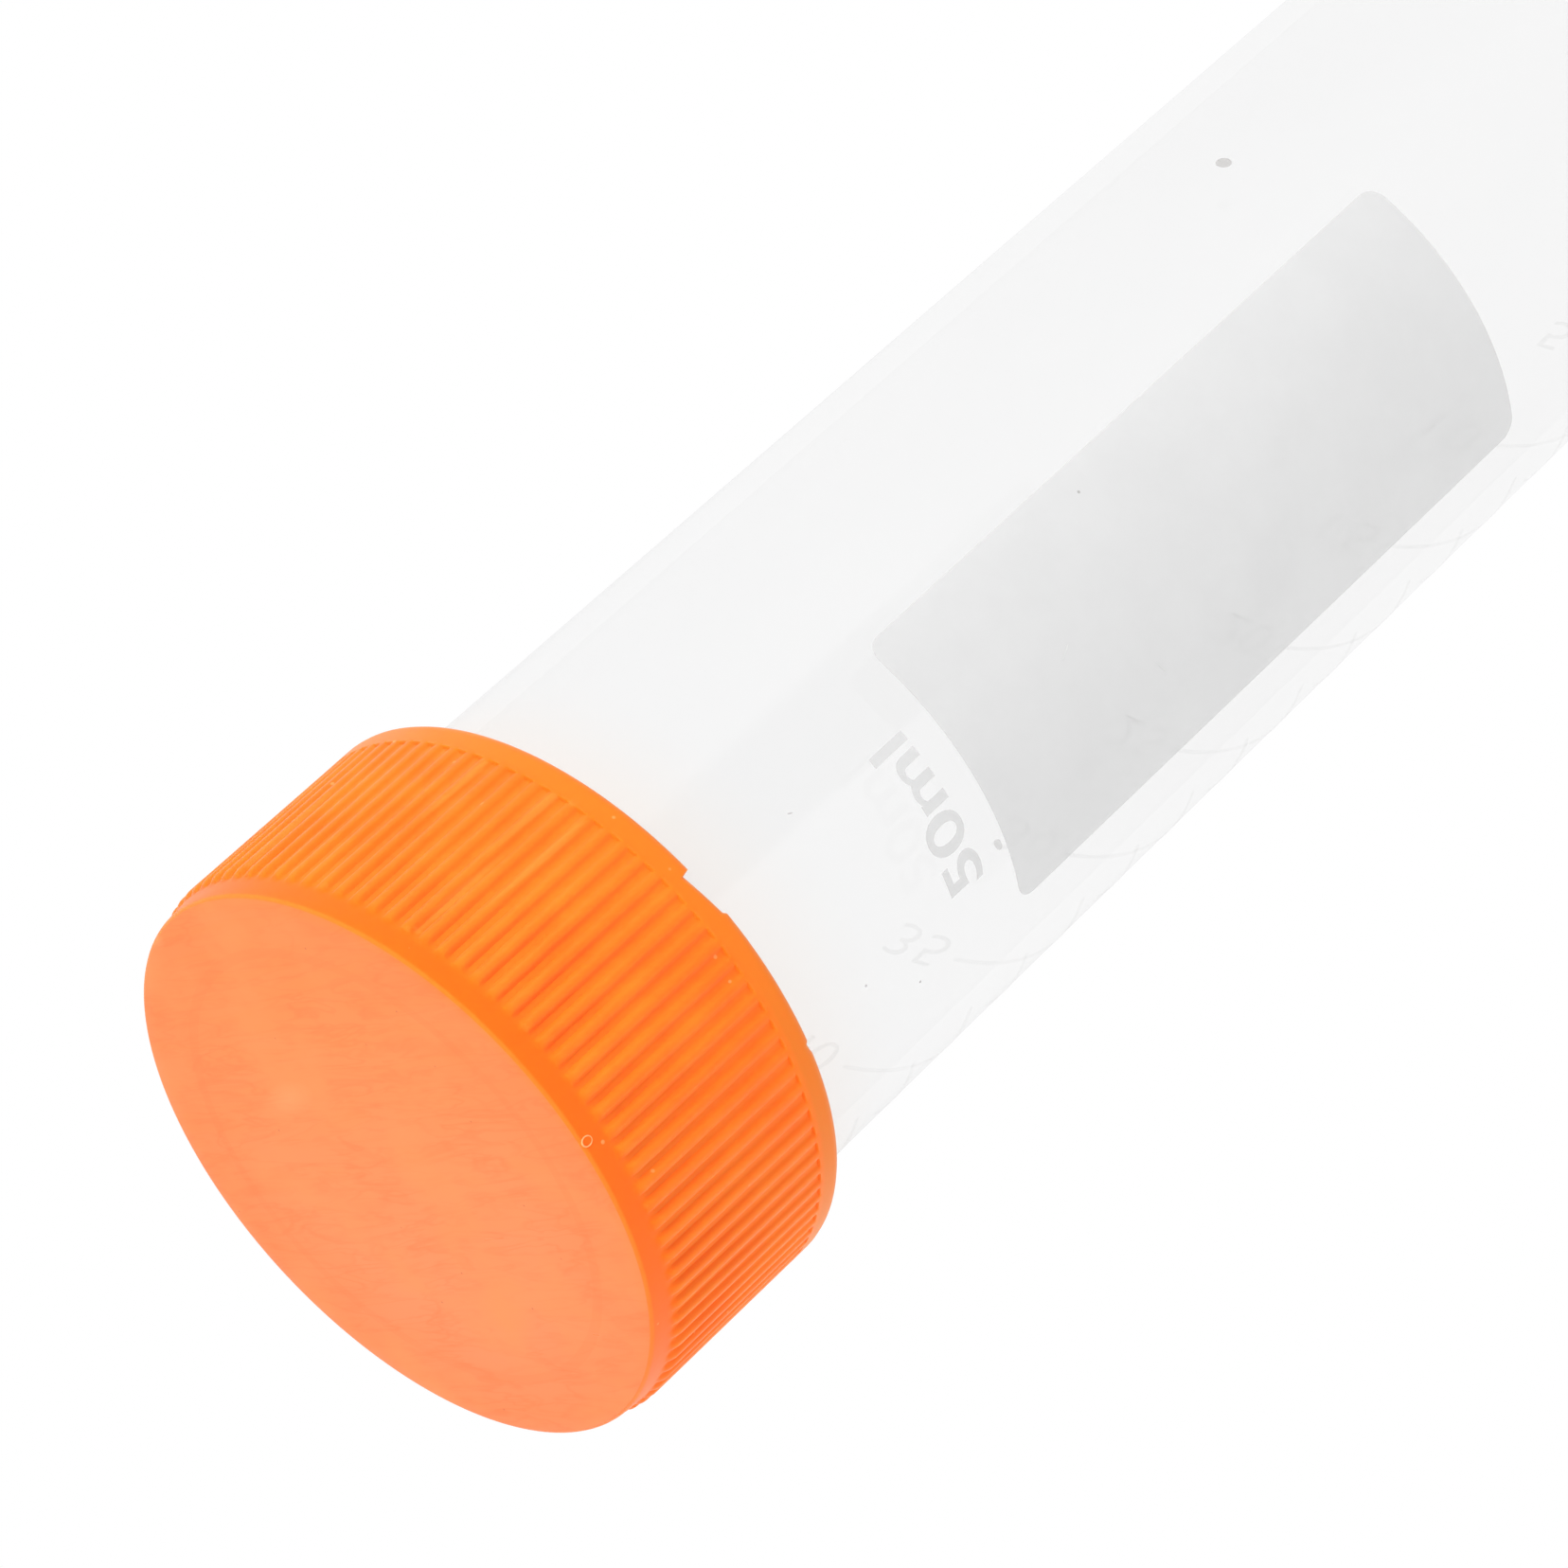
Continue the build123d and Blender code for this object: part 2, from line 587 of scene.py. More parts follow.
# ---- Mesh helpers


@dataclass(frozen=True)
class Corner:
    """A corner of a turned section, with the rounding it gets."""

    radius: float
    height: float
    rounding: float = 0.0
    segments: int = 3


def section(corners: list[Corner]) -> BMesh:
    """Draws a turned part's half section in the XZ plane and rounds its corners.

    Args:
        corners: The section's corners in order, from pole to pole.

    Returns:
        A wire mesh in millimetres.
    """
    bm = bmesh.new()
    points = [bm.verts.new((c.radius, 0.0, c.height)) for c in corners]
    for a, b in zip(points, points[1:]):
        bm.edges.new((a, b))
    for point, corner in zip(points, corners):
        if corner.rounding:
            bmesh.ops.bevel(
                bm, geom=[point], offset=corner.rounding, offset_type="OFFSET",
                segments=corner.segments, profile=0.5, affect="VERTICES", material=-1,
            )
    return bm


def cut_runs(bm: BMesh, axis: int, places: list[float], run: tuple[float, float]) -> None:
    """Cuts extra corners into the straight runs of a section.

    Args:
        bm: The section.
        axis: 2 to cut at heights into upright runs, 0 to cut at radii into flat ones.
        places: The heights or radii of the cuts.
        run: Between which radii an upright run lies, or between which heights a flat one.
    """
    normal = [0, 0, 0]
    normal[axis] = 1
    for place in places:
        edges = [e for e in bm.edges if all(run[0] <= v.co[2 - axis] <= run[1] for v in e.verts)]
        verts = list(dict.fromkeys(v for e in edges for v in e.verts))
        cut = Vector(normal) * place
        bmesh.ops.bisect_plane(bm, geom=verts + edges, dist=ON_PLANE, plane_co=cut, plane_no=normal)


def turn(bm: BMesh, sectors: int, columns: int) -> None:
    """Spins a section through one sector, repeats the sector round the axis and closes seams and poles.

    Args:
        bm: The section, which becomes the turned shell.
        sectors: How many equal sectors the shell has.
        columns: How many columns each sector has.
    """
    start = list(bm.verts) + list(bm.edges)
    around = {"cent": (0, 0, 0), "axis": (0, 0, 1)}
    bmesh.ops.spin(bm, geom=start, angle=math.tau / sectors, steps=columns, **around)
    sector = list(bm.verts) + list(bm.edges) + list(bm.faces)
    bmesh.ops.spin(
        bm, geom=sector, angle=math.tau * (sectors - 1) / sectors, steps=sectors - 1, use_duplicate=True,
        **around,
    )
    bmesh.ops.remove_doubles(bm, verts=list(bm.verts), dist=SAME_PLACE)
    bmesh.ops.recalc_face_normals(bm, faces=list(bm.faces))


def finish_piece(
    bm: BMesh, name: str, body: Body, materials: list[Material], sharp: float = 38.0
) -> Object:
    """Turns a mesh in millimetres into a finished object in metres that rides on its body.

    Args:
        bm: The mesh, which is freed.
        name: The piece's name.
        body: The CAD body it moves with.
        materials: The materials its faces use, by number.
        sharp: The angle in degrees above which an edge shades hard.

    Returns:
        The object.
    """
    bmesh.ops.scale(bm, vec=(MM, MM, MM), verts=list(bm.verts))
    mesh = bpy.data.meshes.new(name)
    bm.to_mesh(mesh)
    bm.free()
    for material in materials:
        mesh.materials.append(material)
    mesh.shade_smooth()
    mesh.set_sharp_from_angle(angle=math.radians(sharp))
    piece = bpy.data.objects.new(name, mesh)
    bpy.context.scene.collection.objects.link(piece)
    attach(piece, body.value)
    LOG.info("%s: %d faces, rides %s", name, len(mesh.polygons), body.value)
    return piece


def angle_of(point: Vector) -> float:
    """The angle of a point about the axis, in degrees."""
    return math.degrees(math.atan2(point.y, point.x))


def smooth(share: float) -> float:
    """Eases a share from 0 to 1, held at both ends."""
    share = min(max(share, 0.0), 1.0)
    return share * share * (3 - 2 * share)


@dataclass(frozen=True)
class Thread:
    """A rounded screw thread that winds up the axis, right-handed."""

    start: float
    pitch: float = 3.6
    turns: float = 1.75
    height: float = 0.6
    half_width: float = 0.85
    fade_turns: float = 0.1
    # Over 1, so that the crest is flat
    fullness: float = 1.35

    def ridge(self, angle: float, z: float) -> float:
        """How high the thread stands at a place.

        Args:
            angle: The angle about the axis in degrees.
            z: The height in millimetres.

        Returns:
            The thread's height there in millimetres.
        """
        share = (angle % 360.0) / 360.0
        best = 0.0
        for whole in range(int(self.turns) + 1):
            wound = share + whole
            if wound > self.turns:
                continue
            away = abs(z - self.start - self.pitch * wound)
            fade = min(smooth(wound / self.fade_turns), smooth((self.turns - wound) / self.fade_turns))
            best = max(best, fade * smooth(self.fullness * (1 - away / self.half_width)))
        return best * self.height

    def press(self, bm: BMesh, wall: float, run: tuple[float, float], outward: int) -> None:
        """Raises the thread on one round wall of a turned shell.

        Args:
            bm: The turned shell.
            wall: The wall's radius in millimetres.
            run: The heights between which the wall may carry the thread.
            outward: 1 for a thread that stands outwards, -1 for one that stands inwards.
        """
        for vert in bm.verts:
            radius = math.hypot(vert.co.x, vert.co.y)
            if abs(radius - wall) < SAME_RUN and run[0] < vert.co.z < run[1]:
                scale = (radius + outward * self.ridge(angle_of(vert.co), vert.co.z)) / radius
                vert.co.x *= scale
                vert.co.y *= scale


# ---- Screw cap


@dataclass(frozen=True)
class Chip:
    """A chip broken out of the rim: a steep step on one side that runs out on the other.

    It goes from the angle steep to the angle shallow, and its depth falls to the share last on the way.
    """

    steep: float
    shallow: float
    depth: float
    last: float
    steep_share: float = 0.04
    shallow_share: float = 0.07

    def fall(self, angle: float) -> float:
        """How deep the chip is at an angle.

        Args:
            angle: The angle about the axis in degrees.

        Returns:
            The depth in millimetres.
        """
        run = (angle - self.steep) / (self.shallow - self.steep)
        if not 0 <= run <= 1:
            return 0.0
        slope = 1 - (1 - self.last) * run
        end = 1 - smooth((run - 1 + self.shallow_share) / self.shallow_share)
        return self.depth * smooth(run / self.steep_share) * slope * end


@dataclass
class ScrewCap:
    """The orange screw cap: face, ribbed skirt, rim band, internal thread and plug seal ring."""

    height: float = 14.0
    rim_radius: float = 16.65
    shoulder_radius: float = 16.38
    face_radius: float = 16.28
    edge_round: float = 0.22
    # Up to this height a face belongs to the flat top and not to its rounded edge
    face_depth: float = 0.02
    top_thickness: float = 1.6
    bore_radius: float = 15.3
    plug_radius: float = 13.22
    plug_wall: float = 0.9
    plug_depth: float = 3.2
    rib_count: int = 96
    rib_phase: float = 2.15
    floor_radius: float = 16.5
    rib_tip: float = 1.35
    rib_full: float = 1.95
    groove_end: float = 12.4
    # Half the height of the slope between the grooves and the rim band
    groove_step: float = 0.03
    # The radii where the skirt and the rim band begin
    skirt_from: float = 16.2
    rim_from: float = 16.6
    # Where the internal thread starts above the inside of the top, and where it ends
    thread_gap: float = 0.3
    thread_end: float = 13.4
    # Chips pull the rim down above this height, by this share at the bore and fully this far outside it
    chips_from: float = 12.8
    chip_at_bore: float = 0.35
    chip_reach: float = 0.9
    # A corner this little inside the bore still belongs to the rim
    rim_slack: float = 0.1
    # A face is torn where the chip is this deep, the face is this high and it looks up this much
    torn_depth: float = 0.1
    torn_above: float = 13.0
    torn_slope: float = 0.6
    chips: tuple[Chip, ...] = (Chip(-113.3, -103.4, 0.5, 0.3), Chip(-76.9, -74.6, 0.16, 0.2))
    thread: Thread = field(default_factory=lambda: Thread(start=4.6, height=0.4, turns=1.6))
    # One pitch of the grip in columns: share of the pitch, and share of the rib's height there
    rib_section: tuple[tuple[float, float], ...] = (
        (0.0, 0.0), (0.14, 0.02), (0.22, 0.36), (0.31, 0.76), (0.4, 0.96),
        (0.5, 1.0), (0.6, 0.96), (0.69, 0.76), (0.78, 0.36), (0.86, 0.02),
    )

    def half_section(self) -> BMesh:
        """Draws the cap's half section, from the pole of its face round to the pole inside it.

        Returns:
            A wire mesh in millimetres.
        """
        plug_in = self.plug_radius - self.plug_wall
        plug_end = self.top_thickness + self.plug_depth
        bm = section([
            Corner(0.0, 0.0),
            Corner(self.face_radius, 0.0, self.edge_round, 5),
            Corner(self.shoulder_radius, 1.2),
            Corner(self.floor_radius, self.groove_end - self.groove_step),
            Corner(self.rim_radius, self.groove_end + self.groove_step),
            Corner(self.rim_radius, self.height, 0.5, 4),
            Corner(self.bore_radius, self.height, 0.3, 2),
            Corner(self.bore_radius, self.top_thickness, 0.2, 2),
            Corner(self.plug_radius, self.top_thickness, 0.2, 2),
            Corner(self.plug_radius, plug_end, 0.3, 3),
            Corner(plug_in, plug_end, 0.25, 2),
            Corner(plug_in, self.top_thickness, 0.2, 2),
            Corner(0.0, self.top_thickness),
        ])
        tips = [1.36, 1.4, 1.46, 1.54, 1.65, 1.8, 1.95, 2.3]
        skirt = [0.7, 1.0] + tips + [4.5, 7.0, 9.5, 11.6, 12.2, 12.3]
        cut_runs(bm, 2, skirt, (self.skirt_from, self.rim_from))
        cut_runs(bm, 2, [12.6, 12.9, 13.15, 13.35], (self.rim_from, self.rim_radius + SAME_RUN))
        bore = (self.bore_radius - SAME_RUN, self.bore_radius + SAME_RUN)
        cut_runs(bm, 2, [2.4 + 0.32 * i for i in range(30)], bore)
        face = (-SAME_PLACE, SAME_PLACE)
        cut_runs(bm, 0, [4.0, 8.0, 12.2, 12.6, 12.9, 13.2, 13.6, 15.4], face)
        return bm

    def shape_grip(self, bm: BMesh) -> None:
        """Gathers the columns to the ribs' flanks and raises the ribs.

        Args:
            bm: The turned shell.
        """
        pitch = 360.0 / self.rib_count
        columns = len(self.rib_section)
        for vert in bm.verts:
            radius = math.hypot(vert.co.x, vert.co.y)
            if radius < ON_AXIS:
                continue
            column = round((angle_of(vert.co) % 360.0) / pitch * columns)
            share, raised = self.rib_section[column % columns]
            angle = math.radians((column // columns + share) * pitch + self.rib_phase)
            z = vert.co.z
            if radius > self.skirt_from and self.rib_tip < z < self.groove_end:
                rise = min((z - self.rib_tip) / (self.rib_full - self.rib_tip), 1.0)
                radius += raised * math.sqrt(1 - (1 - rise) ** 2) * (self.rim_radius - radius)
            vert.co = Vector((radius * math.cos(angle), radius * math.sin(angle), z))

    def shape_chips(self, bm: BMesh) -> None:
        """Breaks the chips out of the rim.

        Args:
            bm: The turned shell.
        """
        for vert in bm.verts:
            radius = math.hypot(vert.co.x, vert.co.y)
            if vert.co.z < self.chips_from or radius < self.bore_radius - self.rim_slack:
                continue
            depth = sum(chip.fall(angle_of(vert.co)) for chip in self.chips)
            outer = smooth((radius - self.bore_radius) / self.chip_reach)
            share = self.chip_at_bore + (1 - self.chip_at_bore) * outer
            vert.co.z -= depth * smooth(vert.co.z - self.chips_from) * share

    def build(self) -> Object:
        """Makes the cap.

        Returns:
            The cap, which stands for the CAD node screw_cap.
        """
        bm = self.half_section()
        turn(bm, self.rib_count, len(self.rib_section))
        run = (self.top_thickness + self.thread_gap, self.thread_end)
        self.thread.press(bm, self.bore_radius, run, outward=-1)
        self.shape_grip(bm)
        self.shape_chips(bm)
        for face in bm.faces:
            centre = face.calc_center_median()
            torn = sum(chip.fall(angle_of(centre)) for chip in self.chips) > self.torn_depth
            if centre.z < self.face_depth:
                face.material_index = 1
            # Torn faces take the paler torn finish: stress whitening, with a painted highlight on the
            # chip's facet
            elif torn and centre.z > self.torn_above and face.normal.z > self.torn_slope:
                face.material_index = 2
        cap = finish_piece(
            bm, "cap_shell", Body.CAP,
            [MouldedOrangeSkirt().build(), PolishedOrangeFace().build(), TornOrangeEdge().build()],
        )
        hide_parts("screw_cap")
        return cap


@dataclass
class CurledBurr:
    """A thread of plastic curled into a small loop that clings to the cap."""

    name: str
    angle: float
    z: float
    radius: float
    loop: float = 0.3
    thread: float = 0.045
    squeeze: float = 0.8

    def build(self, material: Material) -> Object:
        """Makes the burr.

        Args:
            material: The finish of the torn plastic.

        Returns:
            The burr, which rides on the cap.
        """
        bm = bmesh.new()
        bmesh.ops.create_circle(bm, segments=10, radius=self.thread)
        bmesh.ops.rotate(bm, matrix=Matrix.Rotation(math.pi / 2, 3, "X"), verts=list(bm.verts))
        bmesh.ops.translate(bm, vec=(self.loop, 0, 0), verts=list(bm.verts))
        bmesh.ops.spin(
            bm, geom=list(bm.verts) + list(bm.edges), axis=(0, 0, 1), cent=(0, 0, 0),
            angle=math.tau, steps=28, use_merge=True,
        )
        bmesh.ops.scale(bm, vec=(1.0, self.squeeze, 1.0), verts=list(bm.verts))
        bmesh.ops.rotate(bm, matrix=Matrix.Rotation(math.pi / 2, 3, "Y"), verts=list(bm.verts))
        bmesh.ops.translate(bm, vec=(self.radius, 0, self.z), verts=list(bm.verts))
        bmesh.ops.rotate(bm, matrix=Matrix.Rotation(math.radians(self.angle), 3, "Z"), verts=list(bm.verts))
        return finish_piece(bm, self.name, Body.CAP, [material])


# ---- Tube


@dataclass
class Wall:
    """The drafted wall of the tube, which every mark is wrapped on."""

    radius_at_face: float = 14.529
    draft: float = 0.007
    thickness: float = 1.2

    def outer(self, z: float) -> float:
        """The outer radius at a height, in millimetres."""
        return self.radius_at_face - self.draft * z

    def inner(self, z: float) -> float:
        """The inner radius at a height, in millimetres."""
        return self.outer(z) - self.thickness

    def wrap(self, bm: BMesh, angle: float, z: float) -> None:
        """Wraps a flat mark round the wall: its X goes clockwise, its Y towards the cap, its Z outwards.

        Args:
            bm: The flat mark in millimetres.
            angle: The angle in degrees where the mark's X = 0 lands.
            z: The height where its Y = 0 lands.
        """
        for vert in bm.verts:
            height = z - vert.co.y
            turned = math.radians(angle) - vert.co.x / self.outer(height)
            radius = self.outer(height) + vert.co.z
            vert.co = Vector((radius * math.cos(turned), radius * math.sin(turned), height))


def slice_across(bm: BMesh, step: float) -> None:
    """Cuts a flat mark into strips so that it can follow the round wall.

    Args:
        bm: The flat mark.
        step: The strips' width in millimetres.
    """
    low = min(v.co.x for v in bm.verts)
    high = max(v.co.x for v in bm.verts)
    for index in range(1, math.ceil((high - low) / step)):
        bmesh.ops.bisect_plane(
            bm, geom=list(bm.verts) + list(bm.edges) + list(bm.faces), dist=ON_PLANE,
            plane_co=(low + index * step, 0, 0), plane_no=(1, 0, 0),
        )


def thicken(bm: BMesh, low: float, high: float) -> None:
    """Turns a flat outline into a closed film between two heights.

    Args:
        bm: The flat mark at Z = 0.
        low: The film's underside in millimetres.
        high: Its top.
    """
    bmesh.ops.translate(bm, vec=(0, 0, low), verts=list(bm.verts))
    grown = bmesh.ops.extrude_face_region(bm, geom=list(bm.faces))
    raised = [g for g in grown["geom"] if isinstance(g, BMVert)]
    bmesh.ops.translate(bm, vec=(0, 0, high - low), verts=raised)
    bmesh.ops.recalc_face_normals(bm, faces=list(bm.faces))


def lettering(text: str, height: float, width: float, boldness: float) -> BMesh:
    """Sets a word flat, centred on X and standing on Y = 0.

    Args:
        text: The word or number.
        height: Its height in millimetres.
        width: Its width in millimetres.
        boldness: How far the outline is moved out, as a share of the type size.

    Returns:
        The flat mesh.
    """
    curve = bpy.data.curves.new("setting", "FONT")
    curve.body = text
    curve.size = 1.0
    curve.offset = boldness
    curve.resolution_u = 6
    holder = bpy.data.objects.new("setting", curve)
    bpy.context.scene.collection.objects.link(holder)
    bpy.context.view_layer.update()
    mesh = bpy.data.meshes.new_from_object(holder.evaluated_get(bpy.context.evaluated_depsgraph_get()))
    bpy.data.objects.remove(holder)
    bpy.data.curves.remove(curve)
    bm = bmesh.new()
    bm.from_mesh(mesh)
    bpy.data.meshes.remove(mesh)
    bmesh.ops.remove_doubles(bm, verts=list(bm.verts), dist=ON_PLANE)
    xs = [v.co.x for v in bm.verts]
    ys = [v.co.y for v in bm.verts]
    bmesh.ops.translate(bm, vec=(-(min(xs) + max(xs)) / 2, -min(ys), 0), verts=list(bm.verts))
    bmesh.ops.scale(
        bm, vec=(width / (max(xs) - min(xs)), height / (max(ys) - min(ys)), 1), verts=list(bm.verts)
    )
    return bm


@dataclass
class TubeBody:
    """The clear tube: threaded neck, drafted wall and conical bottom."""

    wall: Wall = field(default_factory=Wall)
    end: float = 115.0
    mouth: float = 1.65
    neck_radius: float = 14.2
    neck_end: float = 12.7
    # The thread stays this far short of the neck's end
    thread_gap: float = 0.1
    shoulder_end: float = 13.5
    cone_start: float = 97.2
    cone_inner_start: float = 96.9
    tip_radius: float = 3.6
    tip_inner_radius: float = 2.5
    bottom_thickness: float = 1.4
    columns: int = 256
    sectors: int = 16
    thread: Thread = field(default_factory=lambda: Thread(start=2.8, height=0.62))

    def build(self) -> Object:
        """Makes the tube.

        Returns:
            The tube, which stands for the CAD node tube_body.
        """
        wall = self.wall
        floor = self.end - self.bottom_thickness
        bm = section([
            Corner(0.0, self.end),
            Corner(self.tip_radius, self.end, 2.2, 6),
            Corner(wall.outer(self.cone_start), self.cone_start, 1.2, 4),
            Corner(wall.outer(self.shoulder_end), self.shoulder_end),
            Corner(self.neck_radius, self.neck_end),
            Corner(self.neck_radius, self.mouth, 0.35, 3),
            Corner(wall.inner(self.mouth), self.mouth, 0.2, 2),
            Corner(wall.inner(self.cone_inner_start), self.cone_inner_start, 0.8, 3),
            Corner(self.tip_inner_radius, floor, 1.5, 5),
            Corner(0.0, floor),
        ])
        neck = (self.neck_radius - SAME_RUN, self.neck_radius + SAME_RUN)
        cut_runs(bm, 2, [2.1 + 0.25 * i for i in range(38)], neck)
        turn(bm, self.sectors, self.columns // self.sectors)
        self.thread.press(bm, self.neck_radius, (0.0, self.neck_end - self.thread_gap), outward=1)
        for face in bm.faces:
            centre = face.calc_center_median()
            radius = math.hypot(centre.x, centre.y)
            inside = radius < wall.inner(centre.z) + wall.thickness / 4
            deep = inside and self.mouth + SAME_RUN < centre.z < floor + SAME_RUN
            inward = face.normal.dot(Vector((centre.x, centre.y, 0))) <= 0
            face.material_index = 1 if deep and inward else 0
        skin = ClarifiedPolypropylene("pp_clarified_cavity_side", haze=0.07)
        bore = ClarifiedPolypropylene(
            "pp_clarified_core_side", haze=0.010, warm_haze=0.01, roughness=0.06, glance=0.06
        )
        tube = finish_piece(
            bm, "tube_shell", Body.TUBE, [skin.build(), bore.build()], sharp=50.0
        )
        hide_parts("tube_body")
        return tube

    def level(self, volume: float) -> float:
        """The height at which the upright tube's content reaches a volume.

        Args:
            volume: The content in millilitres.

        Returns:
            The Z of its surface in millimetres.
        """
        floor = self.end - self.bottom_thickness
        low, high = self.mouth, floor
        for _ in range(40):
            middle = (low + high) / 2
            low, high = (middle, high) if self.content(middle) > volume else (low, middle)
        return (low + high) / 2

    def content(self, z: float) -> float:
        """The volume between the bottom and a height.

        Args:
            z: The height in millimetres.

        Returns:
            The volume in millilitres.
        """
        floor = self.end - self.bottom_thickness
        top = self.wall.inner(self.cone_inner_start)

        def frustum(a: float, b: float, length: float) -> float:
            """The volume of a frustum in cubic millimetres."""
            return math.pi * length * (a * a + a * b + b * b) / 3

        if z >= self.cone_inner_start:
            share = (z - self.cone_inner_start) / (floor - self.cone_inner_start)
            here = top + (self.tip_inner_radius - top) * share
            return frustum(here, self.tip_inner_radius, floor - z) / 1000
        cone = frustum(top, self.tip_inner_radius, floor - self.cone_inner_start)
        return (cone + frustum(self.wall.inner(z), top, self.cone_inner_start - z)) / 1000


@dataclass
class Printing:
    """The pad-printed writing patch and the size in millilitres above it."""

    wall: Wall = field(default_factory=Wall)
    patch_low: float = 31.4
    patch_high: float = 74.0
    patch_width: float = 16.3
    patch_angle: float = -90.0
    patch_corner: float = 1.0
    film: float = 0.006
    sunk: float = -0.004
    text: str = "50ml"
    text_top: float = 26.9
    text_base: float = 29.5
    text_width: float = 8.7
    text_angle: float = -88.4

    def build(self) -> list[Object]:
        """Makes the patch and the lettering.

        Returns:
            The patch and the lettering, which ride on the tube.
        """
        patch = bmesh.new()
        bmesh.ops.create_grid(patch, x_segments=1, y_segments=1, size=0.5)
        length = self.patch_high - self.patch_low
        bmesh.ops.scale(patch, vec=(self.patch_width, length, 1), verts=list(patch.verts))
        bmesh.ops.bevel(
            patch, geom=list(patch.verts), offset=self.patch_corner, segments=7, profile=0.5,
            affect="VERTICES", material=-1,
        )
        slice_across(patch, 0.5)
        thicken(patch, self.sunk, self.film)
        self.wall.wrap(patch, self.patch_angle, (self.patch_low + self.patch_high) / 2)
        ink = PadPrintedInk("ink_pale_grey", "#DADADA", "#DEDEDE").build()
        words = lettering(self.text, self.text_base - self.text_top, self.text_width, 0.018)
        slice_across(words, 0.35)
        thicken(words, self.sunk, self.film)
        self.wall.wrap(words, self.text_angle, self.text_base)
        return [
            finish_piece(patch, "writing_patch", Body.TUBE, [ink]),
            finish_piece(words, "size_lettering", Body.TUBE, [ink]),
        ]


@dataclass(frozen=True)
class Speck:
    """One small mark on the wall: a dot, or a short scratch when it is longer than wide."""

    angle: float
    z: float
    length: float = 0.14
    width: float = 0.14
    lean: float = 0.0


@dataclass
class HandlingMarks:
    """The dust specks, smudges and short scratches that handling has left on the wall and the patch."""

    wall: Wall = field(default_factory=Wall)
    film: float = 0.01
    sunk: float = -0.004
    specks: tuple[Speck, ...] = (
        Speck(-116.8, 47.0, 0.17, 0.17), Speck(-108.5, 21.5, 0.3, 0.07, 60.0),
        Speck(-61.45, 23.46), Speck(-71.05, 19.99), Speck(-151.3, 70.3, 0.9, 0.8),
    )
    smudges: tuple[Speck, ...] = (Speck(-73.8, 30.9, 0.7, 0.45, 20.0),)
    scratches: tuple[Speck, ...] = (
        Speck(-94.8, 40.1, 0.9, 0.08, -64.0), Speck(-77.7, 44.9, 0.7, 0.06, 23.0),
    )

    def patch_of(self, marks: tuple[Speck, ...], name: str, material: Material) -> Object:
        """Makes one piece out of several marks.

        Args:
            marks: The marks.
            name: The piece's name.
            material: Its finish.

        Returns:
            The piece, which rides on the tube.
        """
        whole = bmesh.new()
        scratch = bpy.data.meshes.new("mark")
        for mark in marks:
            bm = bmesh.new()
            bmesh.ops.create_circle(bm, cap_ends=True, segments=14, radius=0.5)
            bmesh.ops.scale(bm, vec=(mark.length, mark.width, 1), verts=list(bm.verts))
            turned = Matrix.Rotation(math.radians(mark.lean), 3, "Z")
            bmesh.ops.rotate(bm, matrix=turned, verts=list(bm.verts))
            thicken(bm, self.sunk, self.film)
            self.wall.wrap(bm, mark.angle, mark.z)
            bm.to_mesh(scratch)
            bm.free()
            whole.from_mesh(scratch)
        bpy.data.meshes.remove(scratch)
        return finish_piece(whole, name, Body.TUBE, [material])

    def build(self) -> list[Object]:
        """Makes the dark specks, the grey smudges and the pale scratches.

        Returns:
            The three pieces, which ride on the tube.
        """
        dust = SettledDust("dust_grey", "#B4B2B0", "#BEBCBA")
        grime = SettledDust("smudge_grey", "#DAD9D8", "#DEDEDD")
        scraped = PadPrintedInk("scratched_ink", "#F4F4F4", "#EEEEEE")
        return [
            self.patch_of(self.specks, "dust_specks", dust.build()),
            self.patch_of(self.smudges, "smudges", grime.build()),
            self.patch_of(self.scratches, "scratches", scraped.build()),
        ]


